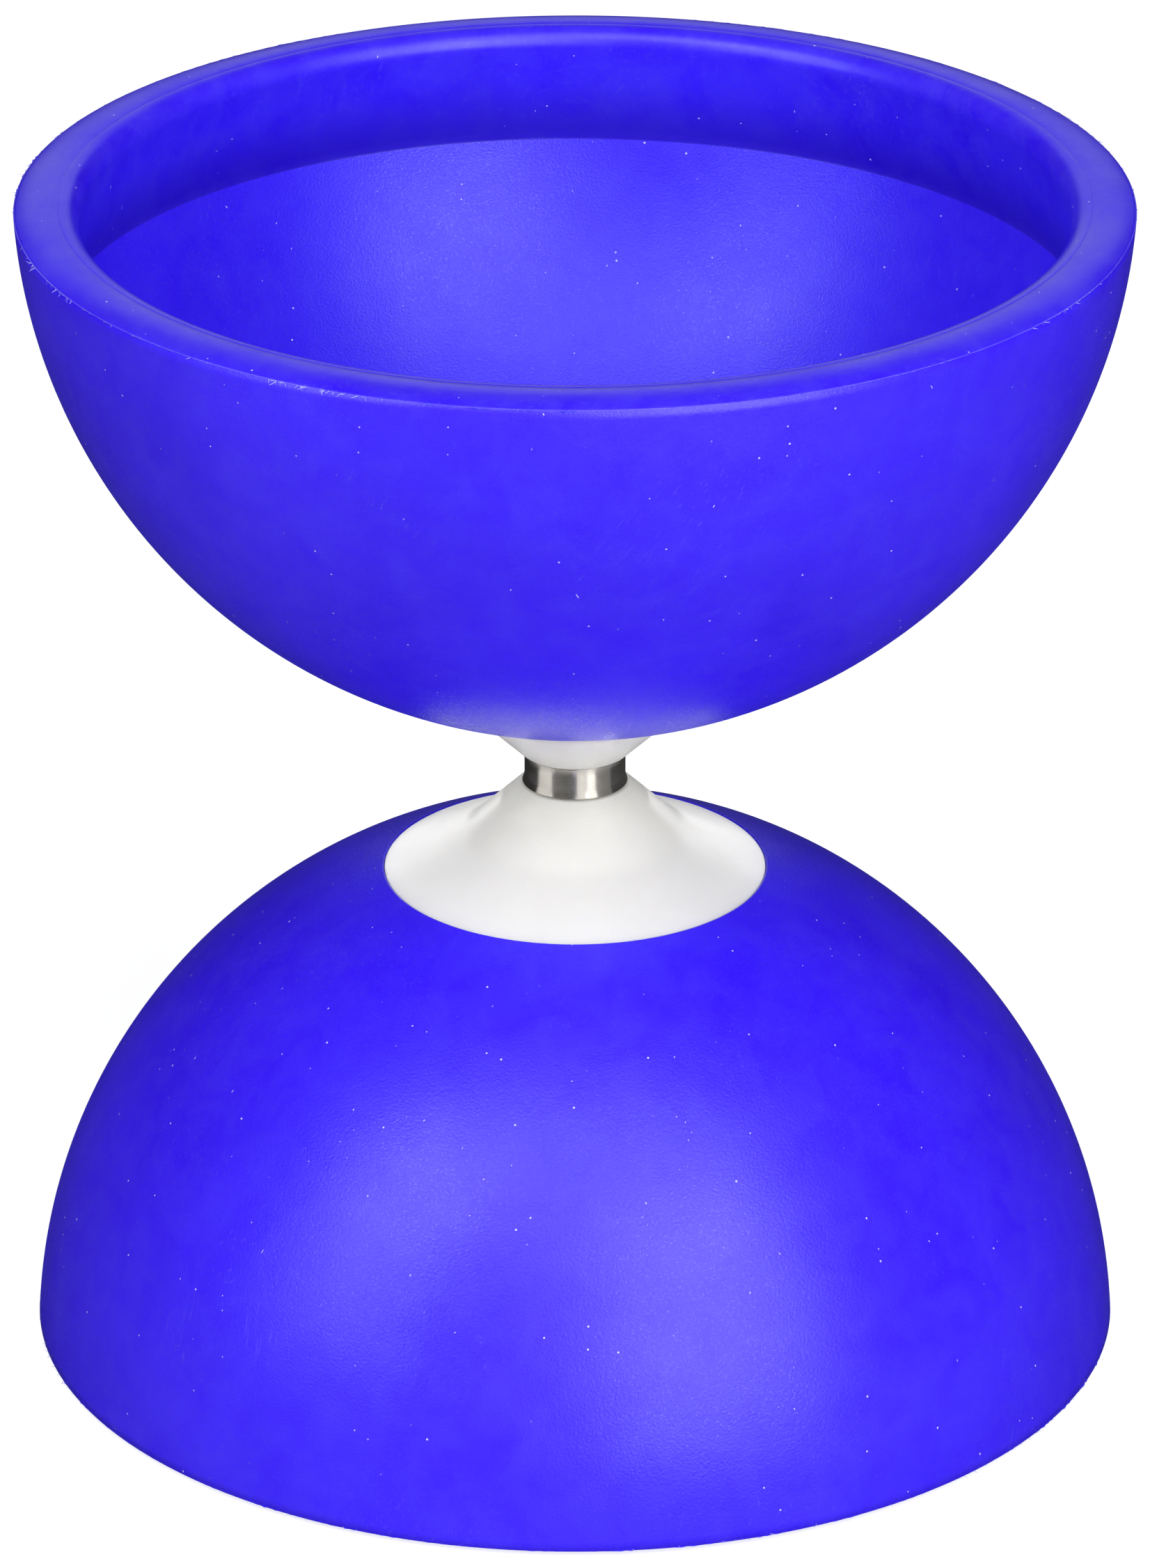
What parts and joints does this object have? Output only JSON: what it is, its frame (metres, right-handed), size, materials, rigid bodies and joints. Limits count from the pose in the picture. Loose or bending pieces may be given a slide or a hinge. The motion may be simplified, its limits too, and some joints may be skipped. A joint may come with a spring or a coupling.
{
  "type": "diabolo",
  "caption": "Cup diabolo: two flexible bowls clamped back to back on a fixed steel axle, with cone hubs that guide the string.",
  "frame": {"origin": "middle of the axle's neck, which is the middle of the whole toy", "axes": "+Z along the spin axis towards the upper bowl's mouth; X and Y are square to it and interchangeable"},
  "size_m": [0.13, 0.13, 0.1434],
  "materials": {
    "cup_rubber": "satin moulded",
    "hub_plastic": "satin moulded",
    "turned_steel": "turned",
    "plated_steel": "zinc plated",
    "spring_steel": "zinc plated",
    "screw_steel": "plain"
  },
  "bodies": {
    "spool": {"axle": "turned_steel", "upper_cup": "cup_rubber", "upper_hub_cone": "hub_plastic", "upper_clamp_flange": "hub_plastic", "lower_cup": "cup_rubber", "lower_hub_cone": "hub_plastic", "lower_clamp_flange": "hub_plastic"},
    "upper_washers": {"upper_flat_washer": "plated_steel", "upper_lock_washer": "spring_steel"},
    "upper_clamp_screw": {"upper_screw": "screw_steel"},
    "lower_washers": {"lower_flat_washer": "plated_steel", "lower_lock_washer": "spring_steel"},
    "lower_clamp_screw": {"lower_screw": "screw_steel"}
  },
  "joints": [
    {"name": "upper_screw_travel", "type": "slide", "parent": "spool", "child": "upper_washers", "axis": [0, 0, 1], "range_m": [0, 0.012]},
    {"name": "upper_screw_turn", "type": "hinge", "parent": "upper_washers", "child": "upper_clamp_screw", "pos_m": [0, 0, 0.02372], "axis": [0, 0, 1], "range_deg": [0, 4320]},
    {"name": "lower_screw_travel", "type": "slide", "parent": "spool", "child": "lower_washers", "axis": [0, 0, -1], "range_m": [0, 0.012]},
    {"name": "lower_screw_turn", "type": "hinge", "parent": "lower_washers", "child": "lower_clamp_screw", "pos_m": [0, 0, -0.02372], "axis": [0, 0, -1], "range_deg": [0, 4320]}
  ],
  "couplings": [
    {"joint": "upper_screw_turn", "follows": "upper_screw_travel", "rad_per_m": 6283.2},
    {"joint": "lower_screw_turn", "follows": "lower_screw_travel", "rad_per_m": 6283.2}
  ]
}
